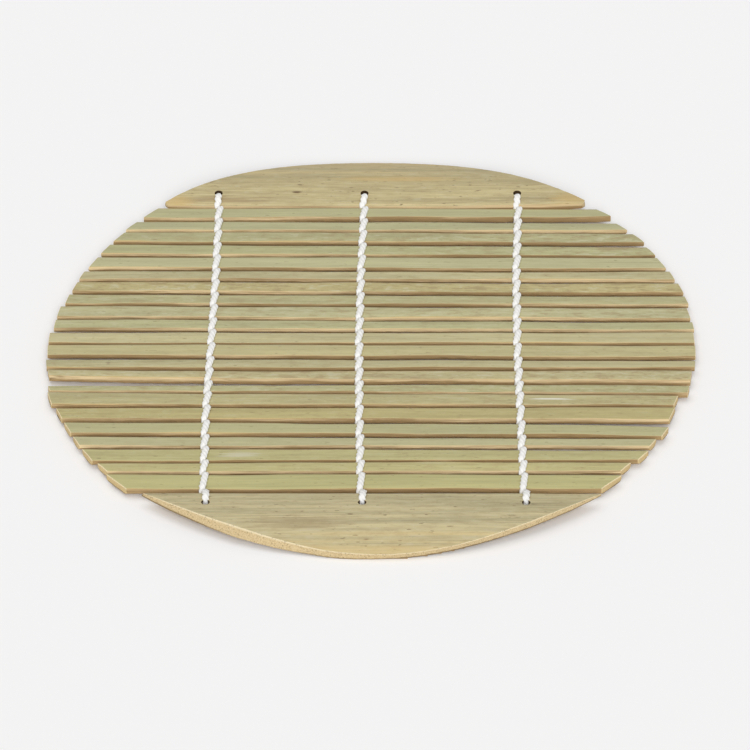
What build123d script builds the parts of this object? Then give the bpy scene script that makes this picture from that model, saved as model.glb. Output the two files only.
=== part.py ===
from build123d import *
import os
from math import radians, sqrt, tan

# A round rolling mat of split bamboo, lying flat with its green side up.
# Slats of uneven width lie side by side between two arched end segments, and three twined
# cotton cords are all that holds them. Each cord has two strands. In every gap they cross
# at half the height of the slats, and over every slat one lies on top and one underneath.
# So the strands bend in every gap, and each gap is a hinge along X.
# Millimetres. X runs along the slats, +Y to the rear, +Z up. The origin is at the middle
# of the mat, on the surface that it lies on.

# The mat
mat_diameter = 195.0
segment_depth = 25.5
slat_gap = 1.9

# The slats, split from thin culms
slat_thickness = 2.3
slat_edge_round = 0.3
slat_end_shift = 2.0
slat_drift = 0.5

# The end segments, cut from the wall of a thick culm
segment_thickness = 2.2
segment_inner_rise = 0.5
segment_arch = 2.0
segment_tip_round = 1.2
segment_rim_press = 0.15
rear_segment_shift = 0.8

# The cords
strand_diameter = 1.5
strand_bend = 1.5
hole_bend = 1.2
strand_press = 0.15
strand_rest_flat = 0.15
strand_spread_play = 0.1
left_cord_x = -48.0
middle_cord_x = -2.5
right_cord_x = 45.1

# The holes of the end segments
hole_play = 1.0
hole_setback = 5.2

# The knots under the front segment
knot_width = 4.0
knot_height = 2.2
knot_floor_gap = 0.1
tail_bend = 5.0
tail_turn_deg = 35.0

# How far each gap bends either way, from the hinge of the front segment, which lies inside
# the roll, to the hinge of the rear segment, which ends on the outside of it
front_fold_deg = 55.0
inner_bend_deg = 19.0
outer_bend_deg = 12.0
rear_fold_deg = 34.0
bend_clearance = 0.15

# One overrun for all cuts
overrun = 2.0

# Shares of the mean width for each slat, and of the nominal gap for each gap, rear to front
slat_width_shares = [
    1.00, 0.86, 1.08, 0.98, 1.19, 0.80, 0.97, 0.90, 1.10, 0.87, 1.16,
    1.19, 0.77, 0.86, 0.72, 1.10, 1.16, 1.06, 0.83, 1.10, 0.85, 1.45,
]
gap_shares = [
    0.65, 1.50, 0.75, 1.05, 0.85, 1.05, 1.10, 1.15, 0.95, 0.95, 0.95, 0.60,
    1.20, 0.95, 1.55, 0.65, 0.85, 1.30, 1.00, 1.00, 0.65, 0.95, 1.40,
]
# Shares of slat_end_shift: how far each trimmed end stands to the right of the round outline
left_end_shares = [
    0.2, 0.5, 0.9, 1.0, 1.0, 0.8, 1.0, 0.9, 0.5, 0.5, 0.0,
    -0.1, -0.1, -0.1, -0.5, -1.0, -0.5, -0.7, -0.7, -0.9, -0.5, -1.3,
]
right_end_shares = [
    1.3, 0.8, 1.2, 0.8, 0.6, 0.7, 0.7, 0.6, 0.1, 0.2, -0.1,
    0.0, -0.1, -0.4, -0.3, -1.6, -1.2, -0.9, -1.2, -0.8, -1.5, -0.8,
]
# Shares of slat_drift: how far each slat has turned, as the move of its right end to the rear
drift_shares = [
    0.0, -0.5, -0.2, -0.6, 0.3, 0.2, -0.3, -0.1, -0.4, -0.4, 0.5,
    0.0, 0.2, 0.1, 0.1, -0.3, 0.3, -0.9, -0.5, 1.0, 1.0, 0.4,
]

# Shares of the leg that a bend takes beside a hinge, and of a knot's height that its edge takes
hinge_leg_share = 0.8
knot_round_share = 0.4

# Heights: the lower strands rest on the surface and are pressed flat there
mat_radius = mat_diameter / 2
strand_radius = strand_diameter / 2
strand_lift = strand_radius - strand_press
slat_bottom = strand_diameter - strand_press - strand_rest_flat
slat_top = slat_bottom + slat_thickness
hinge_height = (slat_bottom + slat_top) / 2
strand_spread = strand_radius + strand_spread_play
room_top = slat_top + segment_inner_rise + segment_arch + strand_diameter + overrun
cord_places = [left_cord_x, middle_cord_x, right_cord_x]

# Places along Y, from the rear to the front
slat_count = len(slat_width_shares)
field_depth = mat_diameter - 2 * segment_depth
gap_widths = [slat_gap * share for share in gap_shares]
mean_width = (field_depth - sum(gap_widths)) / sum(slat_width_shares)
slat_widths = [mean_width * share for share in slat_width_shares]
hinge_places = []
slat_middles = []
edge = field_depth / 2
for gap_width, slat_width in zip(gap_widths, slat_widths + [0]):
    hinge_places.append(edge - gap_width / 2)
    slat_middles.append(edge - gap_width - slat_width / 2)
    edge -= gap_width + slat_width

# The bend of each gap, from the rear to the front
bend_step_deg = (inner_bend_deg - outer_bend_deg) / (slat_count - 2)
bends_deg = [rear_fold_deg]
bends_deg += [outer_bend_deg + bend_step_deg * k for k in range(slat_count - 1)]
bends_deg += [front_fold_deg]


def cut_back(bend_deg, height):
    """How far from a hinge a piece has to end, this far above or below the hinge."""
    return bend_clearance / 2 + height * tan(radians(bend_deg / 2))


def arch_height(depth):
    """Height of the top of an end segment, this far out from its straight inner edge."""
    share = depth / segment_depth
    inner = slat_top + segment_inner_rise
    outer = segment_thickness - segment_rim_press
    return inner + (outer - inner) * share + 4 * segment_arch * share * (1 - share)


def slat_corners(number):
    """The plan of a slat: two long edges, turned a little, and two ends on the outline."""
    middle = slat_middles[number]
    half = slat_widths[number] / 2
    turn = slat_drift * drift_shares[number] / mat_radius
    left_shift = slat_end_shift * left_end_shares[number]
    right_shift = slat_end_shift * right_end_shares[number]
    corners = []
    for side, shift in ((-1, left_shift), (1, right_shift)):
        for edge_y in (middle + side * half, middle - side * half):
            x = side * sqrt(mat_radius**2 - edge_y**2) + shift
            corners.append((x, edge_y + turn * x))
    return corners


def run_plane(start_x, start_y, end_x, end_y):
    """The upright plane over a run of strand, with its start as origin, and its length."""
    along = Vector(end_x - start_x, end_y - start_y, 0)
    plane = Plane(
        origin=(start_x, start_y, 0),
        x_dir=along,
        z_dir=(along.Y, -along.X, 0),
    )
    return plane, along.length


def between_hinges(rear_y, rear_deg, front_y, front_deg):
    """Side view of the space that a slat's strands may fill, whatever its hinges do."""
    up = room_top - hinge_height
    down = hinge_height
    return [
        (rear_y - cut_back(rear_deg, 0), hinge_height),
        (rear_y - cut_back(rear_deg, up), room_top),
        (front_y + cut_back(front_deg, up), room_top),
        (front_y + cut_back(front_deg, 0), hinge_height),
        (front_y + cut_back(front_deg, down), 0),
        (rear_y - cut_back(rear_deg, down), 0),
    ]


def beyond_hinge(hinge_y, bend_deg, side):
    """The same for an end segment, which has one hinge. Side is 1 at the rear."""
    far = side * (mat_radius + overrun)
    return [
        (hinge_y + side * cut_back(bend_deg, 0), hinge_height),
        (hinge_y + side * cut_back(bend_deg, room_top - hinge_height), room_top),
        (far, room_top),
        (far, 0),
        (hinge_y + side * cut_back(bend_deg, hinge_height), 0),
    ]


def end_strand(side, face, length):
    """Side view of a strand of an end segment, from its hole to the hinge, with its radii."""
    if face > 0:
        run_heights = (arch_height(hole_setback) + strand_lift, arch_height(0) + strand_lift)
    else:
        sunk = segment_thickness + strand_lift
        run_heights = (arch_height(hole_setback) - sunk, arch_height(0) - sunk)
    hole_run, edge_run = run_heights
    hinge_leg = abs(edge_run - hinge_height)
    edge_radius = min(strand_bend, hinge_leg * hinge_leg_share)
    to_hinge = [(length, edge_run), (length, hinge_height)]
    if side > 0:
        start = (0, arch_height(hole_setback) - segment_thickness / 2)
    else:
        start = (0, knot_floor_gap + knot_height)
    if side < 0 and face < 0:
        return [(knot_width / 2 + knot_floor_gap, edge_run)] + to_hinge, [edge_radius]
    return [start, (0, hole_run)] + to_hinge, [hole_bend, edge_radius]


os.makedirs("parts", exist_ok=True)

# The slats, each with its six strands: one over and one under at each of the three cords.
# Over a slat the upper strand runs from rear right to front left, and the lower one crosses.
for number in range(slat_count):
    with BuildPart() as slat:
        with BuildSketch(Plane.XY.offset(slat_bottom)):
            with BuildLine():
                Polyline(*slat_corners(number), close=True)
            make_face()
        extrude(amount=slat_thickness)
        fillet(slat.edges().sort_by(SortBy.LENGTH)[-4:], radius=slat_edge_round)
    slat.part.label = f"slat_{number + 1:02d}"
    export_step(slat.part, f"parts/{slat.part.label}.step")

    rear_y = hinge_places[number]
    front_y = hinge_places[number + 1]
    with BuildPart() as room:
        with BuildSketch(Plane.YZ):
            with BuildLine():
                Polyline(
                    *between_hinges(rear_y, bends_deg[number], front_y, bends_deg[number + 1]),
                    close=True,
                )
            make_face()
        extrude(amount=mat_radius, both=True)

    with BuildPart() as stitches:
        for cord_x in cord_places:
            for side, height in (
                (1, slat_top + strand_lift),
                (-1, slat_bottom - strand_lift),
            ):
                start_x = cord_x + side * strand_spread
                end_x = cord_x - side * strand_spread
                plane, length = run_plane(start_x, rear_y, end_x, front_y)
                with BuildLine(plane) as strand:
                    FilletPolyline(
                        (0, hinge_height),
                        (0, height),
                        (length, height),
                        (length, hinge_height),
                        radius=strand_bend,
                    )
                with BuildSketch(Plane(origin=strand.line @ 0, z_dir=strand.line % 0)):
                    Circle(strand_radius)
                sweep()
        add(room.part, mode=Mode.INTERSECT)
        add(slat.part, mode=Mode.SUBTRACT)
    stitches.part.label = f"{slat.part.label}_stitches"
    export_step(stitches.part, f"parts/{stitches.part.label}.step")

# The end segments. At the rear each cord is one strand, doubled through its hole: it runs from
# the hinge over the top to the hole, and back underneath. At the front both strands end in a
# knot under the hole, one straight down through the hole and one along the underside.
for name, side, hinge_y, bend_deg, shift in (
    ("rear_end", 1, hinge_places[0], rear_fold_deg, rear_segment_shift),
    ("front_end", -1, hinge_places[-1], front_fold_deg, 0),
):
    inner_y = side * field_depth / 2
    middle_y = inner_y + side * segment_depth / 2
    outer_y = side * mat_radius
    hole_y = inner_y + side * hole_setback
    with BuildPart() as segment:
        with BuildSketch(Plane.YZ):
            with BuildLine():
                arch = [
                    (inner_y - side * overrun, arch_height(-overrun)),
                    (middle_y, arch_height(segment_depth / 2)),
                    (outer_y + side * overrun, arch_height(segment_depth + overrun)),
                ]
                top = ThreePointArc(*arch)
                bottom = ThreePointArc(*[(y, z - segment_thickness) for y, z in arch])
                Line(top @ 0, bottom @ 0)
                Line(top @ 1, bottom @ 1)
            make_face()
        extrude(amount=mat_radius, both=True)
        with BuildSketch(Plane.XY) as plan:
            with Locations((shift, 0)):
                Circle(mat_radius)
            with Locations((0, inner_y)):
                Rectangle(
                    2 * mat_diameter,
                    mat_diameter,
                    align=(Align.CENTER, Align.MIN if side > 0 else Align.MAX),
                    mode=Mode.INTERSECT,
                )
            fillet(plan.vertices(), radius=segment_tip_round)
        extrude(amount=room_top, mode=Mode.INTERSECT)
        with Locations([(cord_x, hole_y, room_top) for cord_x in cord_places]):
            Hole(strand_radius + hole_play / 2, depth=room_top + overrun)
    segment.part.label = f"{name}_segment"
    export_step(segment.part, f"parts/{segment.part.label}.step")

    with BuildPart() as room:
        with BuildSketch(Plane.YZ):
            with BuildLine():
                Polyline(*beyond_hinge(hinge_y, bend_deg, side), close=True)
            make_face()
        extrude(amount=mat_radius, both=True)

    with BuildPart() as stitches:
        for cord_x in cord_places:
            for face in (1, -1):
                hinge_x = cord_x - side * face * strand_spread
                plane, length = run_plane(cord_x, hole_y, hinge_x, hinge_y)
                points, radii = end_strand(side, face, length)
                with BuildLine(plane) as strand:
                    FilletPolyline(*points, radius=radii)
                with BuildSketch(Plane(origin=strand.line @ 0, z_dir=strand.line % 0)):
                    Circle(strand_radius)
                sweep()
        add(room.part, mode=Mode.INTERSECT)
        add(segment.part, mode=Mode.SUBTRACT)
    stitches.part.label = f"{name}_stitches"
    export_step(stitches.part, f"parts/{stitches.part.label}.step")

# The knots, under the holes of the front segment, which is the last one made above. Each is
# a pulled-tight lump of strand, with two trimmed tails that point to the front.
for name, cord_x in zip(("left", "middle", "right"), cord_places):
    with BuildPart() as knot:
        with BuildSketch(Plane.XZ.offset(-hole_y)):
            with Locations((cord_x, knot_floor_gap)):
                lump = Rectangle(knot_width / 2, knot_height, align=(Align.MIN, Align.MIN))
            fillet(lump.vertices().sort_by(Axis.X)[-2:], radius=knot_height * knot_round_share)
        revolve(axis=Axis((cord_x, hole_y, 0), (0, 0, 1)))
        for side in (-1, 1):
            tail_start = (cord_x + side * strand_spread, hole_y)
            with BuildLine(Plane.XY.offset(strand_radius + knot_floor_gap)) as tail:
                JernArc(tail_start, (0, -1), tail_bend, side * tail_turn_deg)
            with BuildSketch(Plane(origin=tail.line @ 0, z_dir=tail.line % 0)):
                Circle(strand_radius)
            sweep()
    knot.part.label = f"knot_{name}"
    export_step(knot.part, f"parts/{knot.part.label}.step")
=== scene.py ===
# %% [markdown]
# # A round rolling mat of split bamboo
# The mat is 22 thin slats of split bamboo between two wider end segments, tied by three
# twined cotton cords. Nothing else holds it, so it rolls up at its gaps. The CAD model gives
# the bodies, the hinges and plain solids. Here each solid gets the shape and the finish of
# the real thing: split edges that wander, rough trimmed ends, and twisted cotton.

# %% Start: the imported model, in metres, with Z up
from math import atan2, ceil, cos, pi, radians, sin, sqrt, tanh

import bmesh
import bpy
import numpy as np
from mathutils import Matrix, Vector


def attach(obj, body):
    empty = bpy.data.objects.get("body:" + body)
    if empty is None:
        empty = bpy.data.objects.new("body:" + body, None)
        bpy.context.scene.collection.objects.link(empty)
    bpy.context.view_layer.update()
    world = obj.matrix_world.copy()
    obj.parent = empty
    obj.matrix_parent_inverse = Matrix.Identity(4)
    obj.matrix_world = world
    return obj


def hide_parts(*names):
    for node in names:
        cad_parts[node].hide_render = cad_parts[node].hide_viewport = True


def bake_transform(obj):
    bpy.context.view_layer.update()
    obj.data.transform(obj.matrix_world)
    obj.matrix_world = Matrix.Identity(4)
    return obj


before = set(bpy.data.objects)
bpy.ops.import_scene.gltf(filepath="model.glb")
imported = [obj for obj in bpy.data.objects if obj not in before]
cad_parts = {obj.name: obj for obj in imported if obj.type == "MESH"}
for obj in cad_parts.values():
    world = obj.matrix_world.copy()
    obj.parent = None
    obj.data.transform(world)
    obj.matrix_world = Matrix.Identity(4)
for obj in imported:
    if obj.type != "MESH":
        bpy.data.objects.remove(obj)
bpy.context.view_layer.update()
MM = 0.001

# %% [markdown]
# ## Camera
# The photograph was taken from the front, about 37 degrees above the table, with a long lens
# from more than a metre away. So the round mat shows as a wide oval with little perspective.
# The camera is made first, because every later choice is judged through it.

# %% The camera, at the photograph's viewing angle
camera_place = Vector((5.01, -1354.85, 1026.35)) * MM
camera_aim = Vector((1.04, -14.53, 3.5)) * MM
SENSOR = 36
LENS = 270.52
bpy.ops.object.camera_add(location=camera_place)
camera = bpy.context.object
camera.name = "photo_camera"
camera.rotation_euler = (camera_aim - camera_place).to_track_quat("-Z", "Y").to_euler()
camera.data.sensor_width = SENSOR
camera.data.lens = LENS
camera.data.clip_end = 10
bpy.context.scene.camera = camera
print("camera distance", round((camera_aim - camera_place).length, 2), "m")

# %% [markdown]
# ## Tools for nodes
# The light of the world and every finish are trees of nodes. These helpers add a node, feed its
# inputs and hand back its outputs, so that a tree can be written down like a recipe. New nodes
# are laid out in a grid, from left to right, to be read in the Shader Editor.

# %% Small helpers for nodes
GRID_ROWS = 8
GRID_LEFT = -2600
GRID_WIDE = 220
GRID_HIGH = 200


def node(tree, kind, **settings):
    """Add a node at the next place of the grid, and set its properties."""
    column, row = divmod(len(tree.nodes), GRID_ROWS)
    item = tree.nodes.new(kind)
    item.location = (GRID_LEFT + column * GRID_WIDE, -row * GRID_HIGH)
    for name, value in settings.items():
        setattr(item, name, value)
    return item


def feed(tree, item, sources):
    """Link each source to its input, or set the input's value, and return the outputs."""
    for name, source in sources.items():
        if isinstance(source, bpy.types.NodeSocket):
            tree.links.new(source, item.inputs[name])
        else:
            item.inputs[name].default_value = source
    return item.outputs


def maths(tree, operation, first, second=0.0):
    """One Math node."""
    return feed(tree, node(tree, "ShaderNodeMath", operation=operation), {0: first, 1: second})[0]


def plus(tree, first, second):
    """The sum of two numbers."""
    return maths(tree, "ADD", first, second)


def times(tree, first, second):
    """The product of two numbers."""
    return maths(tree, "MULTIPLY", first, second)


def vector_maths(tree, operation, sources, output=0):
    """One Vector Math node."""
    return feed(tree, node(tree, "ShaderNodeVectorMath", operation=operation), sources)[output]


def mix(tree, share, first, second):
    """A colour between two others. The share says how much of the second is in it."""
    item = node(tree, "ShaderNodeMix", data_type="RGBA")
    return feed(tree, item, {"Factor": share, "A": first, "B": second})["Result"]


# %% Small helpers for patterns
def noise(tree, place, scale=1.0, detail=2.0, rough=0.5):
    """One Noise node."""
    sources = {"Vector": place, "Scale": scale, "Detail": detail, "Roughness": rough}
    return feed(tree, node(tree, "ShaderNodeTexNoise"), sources)["Fac"]


def stretched(tree, place, scale):
    """The pattern's place, scaled unevenly along X, Y and Z."""
    return feed(tree, node(tree, "ShaderNodeMapping"), {"Vector": place, "Scale": scale})["Vector"]


def ramp(tree, value, low, high):
    """Map a range to 0 to 1, smoothly."""
    item = node(tree, "ShaderNodeMapRange", interpolation_type="SMOOTHSTEP")
    return feed(tree, item, {"Value": value, "From Min": low, "From Max": high})["Result"]


def bump(tree, height, distance):
    """Turn a height into a surface normal. The distance is in millimetres."""
    sources = {"Distance": distance * MM, "Height": height}
    return feed(tree, node(tree, "ShaderNodeBump"), sources)["Normal"]


def attribute(tree, name, output="Fac"):
    """The stored number or colour of the piece."""
    return node(tree, "ShaderNodeAttribute", attribute_name=name).outputs[output]


def own_place(tree):
    """The piece's own coordinates."""
    return node(tree, "ShaderNodeTexCoord").outputs["Object"]


# %% Small helpers for groups and materials
def new_group(name, inputs, outputs):
    """A node group with named sockets, each with its kind, and its input and output nodes."""
    tree = bpy.data.node_groups.new(name, "ShaderNodeTree")
    for in_out, sockets in (("INPUT", inputs), ("OUTPUT", outputs)):
        for title, kind in sockets.items():
            tree.interface.new_socket(name=title, in_out=in_out, socket_type=f"NodeSocket{kind}")
    return tree, node(tree, "NodeGroupInput"), node(tree, "NodeGroupOutput")


def new_finish(name):
    """A material and its tree of nodes."""
    finish = bpy.data.materials.new(name)
    finish.use_nodes = True
    return finish, finish.node_tree


def paint_with(tree, colour, rough, shine, **others):
    """Feed a material's shader with a colour, a roughness, a shine and what else is named."""
    named = {name.replace("_", " "): source for name, source in others.items()}
    base = {"Base Color": colour, "Roughness": rough, "Specular IOR Level": shine}
    feed(tree, tree.nodes["Principled BSDF"], {**base, **named})


# %% [markdown]
# ## Light and floor
# The picture is a plain product shot: soft light from all round, a little stronger from
# above, and a pale floor without an edge. A world of even light gives the soft base, and two
# suns with a wide disc, one above and one low in front, light the split front sides as brightly
# as the skin, leave the gaps dark, and light the whole floor alike. What looks straight at the
# world sees a plain page in its place. The floor is a pale surface, so it keeps the mat's shadow.

# %% World and lamps
WORLD_LIGHT = 0.37
PAGE = 0.896
scene = bpy.context.scene
scene.view_settings.view_transform = "Standard"
world = bpy.data.worlds.new("soft_studio")
scene.world = world
world.use_nodes = True
sky = world.node_tree
soft_base = feed(sky, sky.nodes["Background"], {"Color": (1, 1, 1, 1), "Strength": WORLD_LIGHT})
page = feed(sky, node(sky, "ShaderNodeBackground"), {"Color": (PAGE, PAGE, PAGE, 1)})
rays = node(sky, "ShaderNodeLightPath").outputs
seen = maths(sky, "MAXIMUM", rays["Is Camera Ray"], rays["Is Glossy Ray"])
seen = maths(sky, "MAXIMUM", seen, rays["Is Transmission Ray"])
sources = {0: seen, 1: soft_base[0], 2: page[0]}
mixed = feed(sky, node(sky, "ShaderNodeMixShader"), sources)
feed(sky, sky.nodes["World Output"], {"Surface": mixed[0]})


def soft_sun(name, direction, spread_deg, strength):
    """A sun with a wide disc, so its light is as soft as that of a large lamp far away."""
    bpy.ops.object.light_add(type="SUN", location=direction)
    light = bpy.context.object
    light.name = name
    light.rotation_euler = (-Vector(direction)).to_track_quat("-Z", "Y").to_euler()
    light.data.angle = radians(spread_deg)
    light.data.energy = strength


soft_sun("top_light", (-0.15, 0.1, 1.0), 60, 0.7)
soft_sun("front_light", (0.05, -1.0, 0.7), 36, 1.9)
print("lamps", [light.name for light in bpy.data.lights])

# %% The floor
FLOOR_SIZE = 8
FLOOR_DROP = 0.02
FLOOR_COLOUR = (0.965, 0.96, 0.96, 1)
bpy.ops.mesh.primitive_plane_add(size=FLOOR_SIZE, location=(0, 0, -FLOOR_DROP * MM))
floor = bpy.context.object
floor.name = "floor"
floor_finish, tree = new_finish("pale floor")
paint_with(tree, FLOOR_COLOUR, rough=0.9, shine=0.0)
floor.data.materials.append(floor_finish)

# %% [markdown]
# ## Sizes
# The CAD solids say where each piece is. The photograph adds what a plain solid leaves out:
# no slat is quite parallel to its neighbour, and no end is trimmed exactly on the circle.
# Each row below is one slat, from the rear to the front, in millimetres.

# %% The slats as they lie
MAT_RADIUS = 97.5
SLAT_BOTTOM = 1.2
SLAT_TOP = 3.5
HINGE_HEIGHT = 2.35
# rear edge and front edge at the middle, how far each edge moves to the rear on its way to
# the right end, and how far the left and right ends stand to the right of the round outline
SLATS = [
    (70.8, 66.4, -0.2, 0.2, 0.35, 2.7),
    (63.5, 59.5, -0.4, 0.1, 0.9, 1.7),
    (58.1, 53.2, -0.3, 0.2, 1.7, 2.3),
    (51.2, 46.7, -0.3, -0.2, 2.0, 1.6),
    (45.1, 39.7, 0.2, 0.1, 2.0, 1.1),
    (37.7, 34.0, 0.2, 0.1, 1.7, 1.3),
    (32.0, 27.5, -0.1, -0.2, 2.0, 1.5),
    (25.4, 21.2, -0.2, 0.1, 1.8, 1.2),
    (19.4, 14.4, -0.2, -0.2, 0.9, 0.2),
    (12.5, 8.6, -0.4, -0.1, 0.9, 0.4),
    (6.7, 1.5, 0.3, 0.2, 0.0, -0.1),
    (0.5, -4.9, 0.1, -0.1, -0.1, 0.0),
    (-7.2, -10.7, -0.2, 0.4, -0.5, -0.1),
    (-12.5, -16.4, 0.4, -0.3, -0.3, -0.8),
    (-19.5, -22.6, 0.3, -0.2, -1.0, -0.6),
    (-23.8, -28.9, -0.5, 0.1, -2.0, -3.2),
    (-30.5, -35.8, 0.4, -0.1, -1.0, -2.4),
    (-38.3, -43.1, -0.6, -0.3, -1.3, -1.7),
    (-45.0, -48.7, -0.4, -0.1, -1.5, -2.4),
    (-50.7, -55.6, -0.3, 0.3, -1.8, -1.7),
    (-56.8, -60.8, 0.4, 0.3, -1.0, -3.0),
    (-62.5, -69.2, 0.1, 0.2, -2.6, -1.5),
]
# lightness, red and blue beside green, and how mottled the skin is at its left and right end
SKINS = [
    (0.97, 1.02, 0.76, 0.1, 0.1), (0.96, 1.02, 0.775, 0.1, 0.3), (0.92, 1.03, 0.75, 0.5, 1.0),
    (0.96, 1.02, 0.745, 0.1, 0.9), (1.04, 1.02, 0.77, 0.1, 0.2), (0.98, 1.045, 0.765, 0.3, 0.6),
    (0.94, 1.07, 0.72, 1.0, 1.0), (0.93, 1.035, 0.75, 0.7, 0.3), (1.02, 1.03, 0.765, 0.6, 0.9),
    (1.00, 1.02, 0.755, 0.5, 0.3), (1.07, 1.05, 0.765, 0.3, 0.3), (1.02, 1.055, 0.745, 0.2, 0.4),
    (0.98, 1.045, 0.76, 0.6, 0.2), (0.98, 1.055, 0.755, 0.8, 1.0), (0.94, 1.03, 0.745, 0.7, 0.8),
    (0.96, 1.055, 0.74, 0.4, 0.6), (0.92, 1.065, 0.70, 0.4, 0.3), (0.98, 1.03, 0.75, 0.1, 0.2),
    (1.00, 1.03, 0.765, 0.2, 0.2), (0.99, 1.04, 0.715, 0.3, 0.3), (1.01, 1.05, 0.71, 0.3, 0.5),
    (1.03, 1.035, 0.705, 0.1, 0.1),
]
SKIN_GREEN = 0.445
print("mean slat width", round(sum(a - b for a, b, *rest in SLATS) / len(SLATS), 2), "mm")

# %% [markdown]
# ## Tools for shaping
# Working by hand in Blender is: select something by its place, then move, cut, extrude or
# subdivide it. These helpers do the same. Everything is deselected first, because operators
# act on all that is selected, and the loaded CAD nodes start out selected.


# %% Select, move and cut, as by hand
def select_only(piece):
    """Deselect everything, then select this piece and make it the active one."""
    bpy.ops.object.select_all(action="DESELECT")
    piece.select_set(True)
    bpy.context.view_layer.objects.active = piece


def new_piece(name):
    """Name the object that was just added, and apply its place, turn and scale."""
    piece = bpy.context.object
    piece.name = name
    piece.data.name = name
    select_only(piece)
    bpy.ops.object.transform_apply(location=True, rotation=True, scale=True)
    return piece


def select_where(piece, kind, test):
    """In edit mode, select the vertices or edges that pass a test of their points."""
    bpy.ops.mesh.select_mode(type=kind)
    bpy.ops.mesh.select_all(action="DESELECT")
    shape = bmesh.from_edit_mesh(piece.data)
    for member in shape.verts if kind == "VERT" else shape.edges:
        points = [member.co] if kind == "VERT" else [v.co for v in member.verts]
        if test(points):
            member.select_set(True)
    shape.select_flush_mode()
    bmesh.update_edit_mesh(piece.data)


def cut_away(place, normal):
    """Bisect the whole piece and clear the side that the normal points to."""
    bpy.ops.mesh.select_mode(type="FACE")
    bpy.ops.mesh.select_all(action="SELECT")
    bpy.ops.mesh.bisect(plane_co=place, plane_no=normal, clear_outer=True, threshold=1e-7)


def along_x(points):
    """Does this edge run mainly along the slat?"""
    step = points[0] - points[1]
    return abs(step.x) > 5 * max(abs(step.y), abs(step.z))


def subdivide_where(piece, test, cuts):
    """Subdivide the edges that pass a test of their points."""
    select_where(piece, "EDGE", test)
    bpy.ops.mesh.subdivide(number_cuts=cuts)


def apply_modifiers(piece):
    """Apply every modifier, from the top."""
    bpy.context.view_layer.objects.active = piece
    for modifier in list(piece.modifiers):
        bpy.ops.object.modifier_apply(modifier=modifier.name)


# %% [markdown]
# Bamboo splits along its fibres, so its waves are long in the direction of the slat and short
# across it. A Displace modifier reads a cloud texture through a helper object. Stretching the
# helper along X stretches the waves.


# %% Helpers for the waves of split bamboo
def wave_helper(name, stretch, shift):
    """An empty whose scale says how long the waves are along X, Y and Z, in millimetres."""
    bpy.ops.object.empty_add(location=shift)
    helper = bpy.context.object
    helper.name = name
    helper.scale = [size * MM for size in stretch]
    return helper


def cloud_texture(name, depth):
    """A soft cloud pattern, one helper unit wide. Depth adds finer waves."""
    texture = bpy.data.textures.new(name, "CLOUDS")
    texture.noise_scale = 1.0
    texture.noise_depth = depth
    return texture


long_waves = wave_helper("long_waves", (26, 9, 9), (0.31, 0, 0))
other_waves = wave_helper("other_waves", (31, 9, 9), (-0.57, 0.4, 0))
body_waves = wave_helper("body_waves", (70, 60, 60), (0.11, 0.2, 0.3))
fibre_waves = wave_helper("fibre_waves", (4.5, 1.1, 0.5), (0.2, 0.1, 0))
rough_waves = wave_helper("rough_waves", (0.8, 0.8, 0.6), (0.1, 0.3, 0.2))
smooth_clouds = cloud_texture("smooth clouds", 1)
fine_clouds = cloud_texture("fine clouds", 3)
WAVE_HELPERS = [long_waves, other_waves, body_waves, fibre_waves, rough_waves]
print("waves", [helper.name for helper in WAVE_HELPERS])


def displace(piece, helper, texture, direction, strength, group=None):
    """One Displace modifier, with its strength in millimetres from trough to crest."""
    modifier = piece.modifiers.new(f"{helper.name}_{direction}", "DISPLACE")
    modifier.texture = texture
    modifier.texture_coords = "OBJECT"
    modifier.texture_coords_object = helper
    modifier.direction = direction
    modifier.strength = strength * MM
    modifier.mid_level = 0.5
    if group:
        modifier.vertex_group = group


SHARP_DEG = 50
SOFT_STEPS = 2


def soften_edges(piece, width):
    """Round the sharp edges, by this width in millimetres."""
    soft = piece.modifiers.new("soft edges", "BEVEL")
    soft.width = width * MM
    soft.segments = SOFT_STEPS
    soft.limit_method = "ANGLE"
    soft.angle_limit = radians(SHARP_DEG)


def clamp(value, low=0, high=1):
    """Keep a value between two limits."""
    return min(max(value, low), high)


def weigh(piece, name, weight_of):
    """A vertex group whose weights come from each vertex's place."""
    group = piece.vertex_groups.new(name=name)
    for vertex in piece.data.vertices:
        weight = clamp(weight_of(vertex.co))
        if weight > 0:
            group.add([vertex.index], weight, "REPLACE")


def between_shares(shares, place):
    """The value at this place, on the straight lines between the given pairs."""
    return float(np.interp(place, [pair[0] for pair in shares], [pair[1] for pair in shares]))


def keep_values(piece, name, values):
    """Store a number per vertex that the finish reads later."""
    attribute = piece.data.attributes.new(name, "FLOAT", "POINT")
    attribute.data.foreach_set("value", values)


def keep_value(piece, name, value_of):
    """The same, worked out from each vertex's place."""
    keep_values(piece, name, [value_of(vertex.co) for vertex in piece.data.vertices])


def keep_colour(piece, name, colour):
    """Store one colour for the whole piece that the finish reads later."""
    attribute = piece.data.color_attributes.new(name, "FLOAT_COLOR", "POINT")
    attribute.data.foreach_set("color", list((*colour, 1.0)) * len(piece.data.vertices))


# %% [markdown]
# ## Slats
# Each slat was split off a culm, so its long sides follow the fibres and wander a little. Its
# top is the green skin, slightly crowned, and its underside is shaved round. After weaving, the
# whole mat was trimmed round, so every end is one straight slanted cut. A stretched cube gives
# the blank, its four upright corners are moved to the trimmed outline, and it is subdivided
# before the waves are put in. Some free ends have warped since, so they are bent last.

# %% One slat, cut from its blank
ALONG_CUTS = 100
ACROSS_CUTS = 7
UP_CUTS = 1
UNDER_ROUND = 1.5
UNDER_STEPS = 6
# these slats were shaved less, so their front sides reach down to the shade in a wide gap
LESS_ROUND = {1: 0.4, 14: 0.4, 15: 0.8, 17: 0.8, 22: 1.0}
# the most that a slat's underside is rounded, as a share of its width
MOST_ROUND = 0.42
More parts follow.
